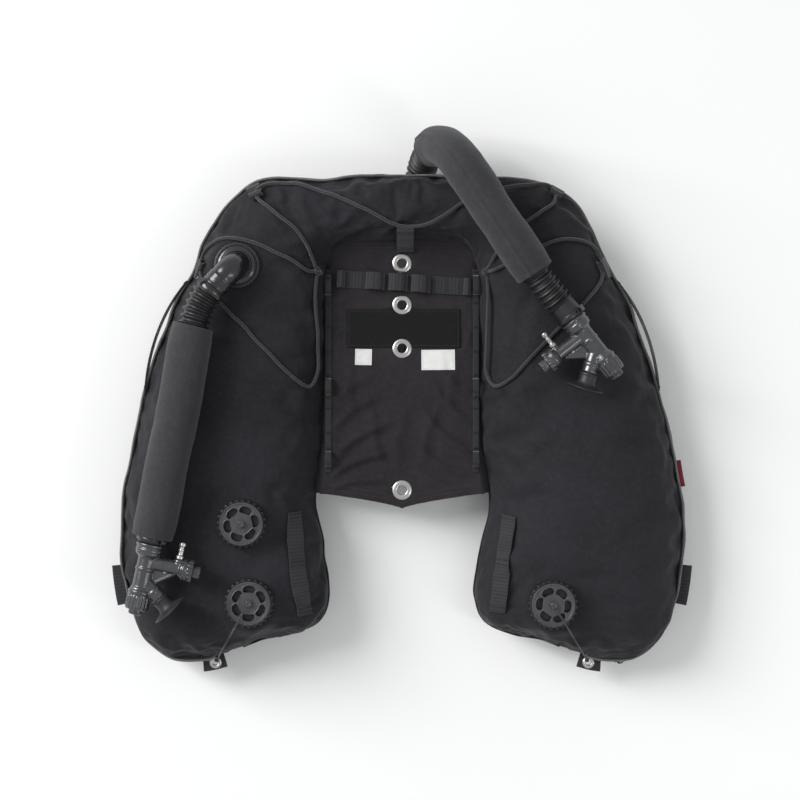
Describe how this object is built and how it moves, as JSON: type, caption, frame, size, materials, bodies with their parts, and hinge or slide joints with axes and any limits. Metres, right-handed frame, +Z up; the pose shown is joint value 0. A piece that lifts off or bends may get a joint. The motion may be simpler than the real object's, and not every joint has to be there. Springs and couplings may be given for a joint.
{
  "type": "buoyancy compensator wing",
  "caption": "Black horseshoe-shaped dual-bladder diving wing with corrugated hoses, power inflators, dump valves, bungee and a grommeted centre panel.",
  "frame": {"origin": "on the ground under the middle of the wing, which lies on its back with the tank side up", "axes": "+X across the wing, to the right as seen from above; +Y from the lobes' lower ends to the neck; +Z up, out of the tank side"},
  "size_m": [0.7192, 0.6754, 0.175],
  "materials": {
    "shell_fabric": "matte",
    "panel_fabric": "matte",
    "sleeve_fabric": "matte",
    "bladder_film": "satin",
    "webbing": "matte",
    "loop_pile": "matte",
    "bungee": "matte",
    "pull_cord": "matte",
    "hose_rubber": "satin",
    "gloss_plastic": "gloss",
    "valve_plastic": "satin",
    "button_plastic": "satin",
    "soft_rubber": "satin",
    "nickel": "polished"
  },
  "bodies": {
    "wing": {"front_shell": "shell_fabric", "back_shell": "shell_fabric", "front_bladder": "bladder_film", "back_bladder": "bladder_film", "perimeter_zip": "webbing", "center_panel": "panel_fabric", "grommet_top": "nickel", "grommet_upper_middle": "nickel", "grommet_lower_middle": "nickel", "grommet_bottom": "nickel", "loop_patch": "loop_pile", "daisy_chain_webbing": "webbing", "panel_edge_webbing_left": "webbing", "panel_edge_webbing_right": "webbing", "lower_side_tab_left": "webbing", "lower_side_tab_right": "webbing", "bottom_tab_left": "webbing", "bottom_tab_right": "webbing", "bottom_tab_grommet_left": "nickel", "bottom_tab_grommet_right": "nickel", "side_strap_left": "webbing", "side_strap_right": "webbing", "grip_webbing_left": "webbing", "grip_webbing_right": "webbing", "bungee_left": "bungee", "bungee_right": "bungee", "bungee_top": "bungee", "bungee_tab_upper_left": "webbing", "bungee_tab_upper_right": "webbing", "bungee_tab_side_left": "webbing", "bungee_tab_side_right": "webbing", "upper_left_dump_base": "valve_plastic", "upper_left_dump_cap": "valve_plastic", "lower_left_dump_base": "valve_plastic", "lower_left_dump_cap": "valve_plastic", "lower_right_dump_base": "valve_plastic", "lower_right_dump_cap": "valve_plastic", "pull_cord_left": "pull_cord", "pull_cord_right": "pull_cord", "left_elbow_flange": "valve_plastic", "right_elbow_flange": "valve_plastic"},
    "left_hose_set": {"left_elbow": "gloss_plastic", "left_hose": "hose_rubber", "left_sleeve": "sleeve_fabric", "left_inflator_body": "gloss_plastic", "left_mouthpiece": "soft_rubber", "left_nipple": "nickel"},
    "right_hose_set": {"right_elbow": "gloss_plastic", "right_hose": "hose_rubber", "right_sleeve": "sleeve_fabric", "right_inflator_body": "gloss_plastic", "right_mouthpiece": "soft_rubber", "right_nipple": "nickel"},
    "left_power_button": {"left_power_button": "button_plastic"},
    "left_oral_button": {"left_oral_button": "button_plastic"},
    "right_power_button": {"right_power_button": "button_plastic"},
    "right_oral_button": {"right_oral_button": "button_plastic"},
    "upper_left_dump_poppet": {"upper_left_dump_poppet": "button_plastic"},
    "lower_left_dump_poppet": {"lower_left_dump_poppet": "button_plastic"},
    "lower_right_dump_poppet": {"lower_right_dump_poppet": "button_plastic"}
  },
  "joints": [
    {"name": "left_elbow_swivel", "type": "hinge", "parent": "wing", "child": "left_hose_set", "pos_m": [-0.1997, 0.1936, 0.1104], "axis": [0, 0, 1], "range_deg": [-15, 5]},
    {"name": "right_elbow_swivel", "type": "hinge", "parent": "wing", "child": "right_hose_set", "pos_m": [0.016, 0.257, 0.0456], "axis": [0, 0, 1], "range_deg": [-6, 6]},
    {"name": "left_power_button_press", "type": "slide", "parent": "left_hose_set", "child": "left_power_button", "axis": [-0.9763, 0.2164, 0], "range_m": [0, 0.004], "stiffness_N_per_m": 500},
    {"name": "left_oral_button_press", "type": "slide", "parent": "left_hose_set", "child": "left_oral_button", "axis": [0.2164, 0.9763, 0], "range_m": [0, 0.004], "stiffness_N_per_m": 500},
    {"name": "right_power_button_press", "type": "slide", "parent": "right_hose_set", "child": "right_power_button", "axis": [0.7848, 0.6198, 0], "range_m": [0, 0.004], "stiffness_N_per_m": 500},
    {"name": "right_oral_button_press", "type": "slide", "parent": "right_hose_set", "child": "right_oral_button", "axis": [-0.6198, 0.7848, 0], "range_m": [0, 0.004], "stiffness_N_per_m": 500},
    {"name": "upper_left_dump_lift", "type": "slide", "parent": "wing", "child": "upper_left_dump_poppet", "axis": [0, 0, 1], "range_m": [0, 0.005], "stiffness_N_per_m": 300},
    {"name": "lower_left_dump_lift", "type": "slide", "parent": "wing", "child": "lower_left_dump_poppet", "axis": [0, 0, 1], "range_m": [0, 0.005], "stiffness_N_per_m": 300},
    {"name": "lower_right_dump_lift", "type": "slide", "parent": "wing", "child": "lower_right_dump_poppet", "axis": [0, 0, 1], "range_m": [0, 0.005], "stiffness_N_per_m": 300}
  ]
}
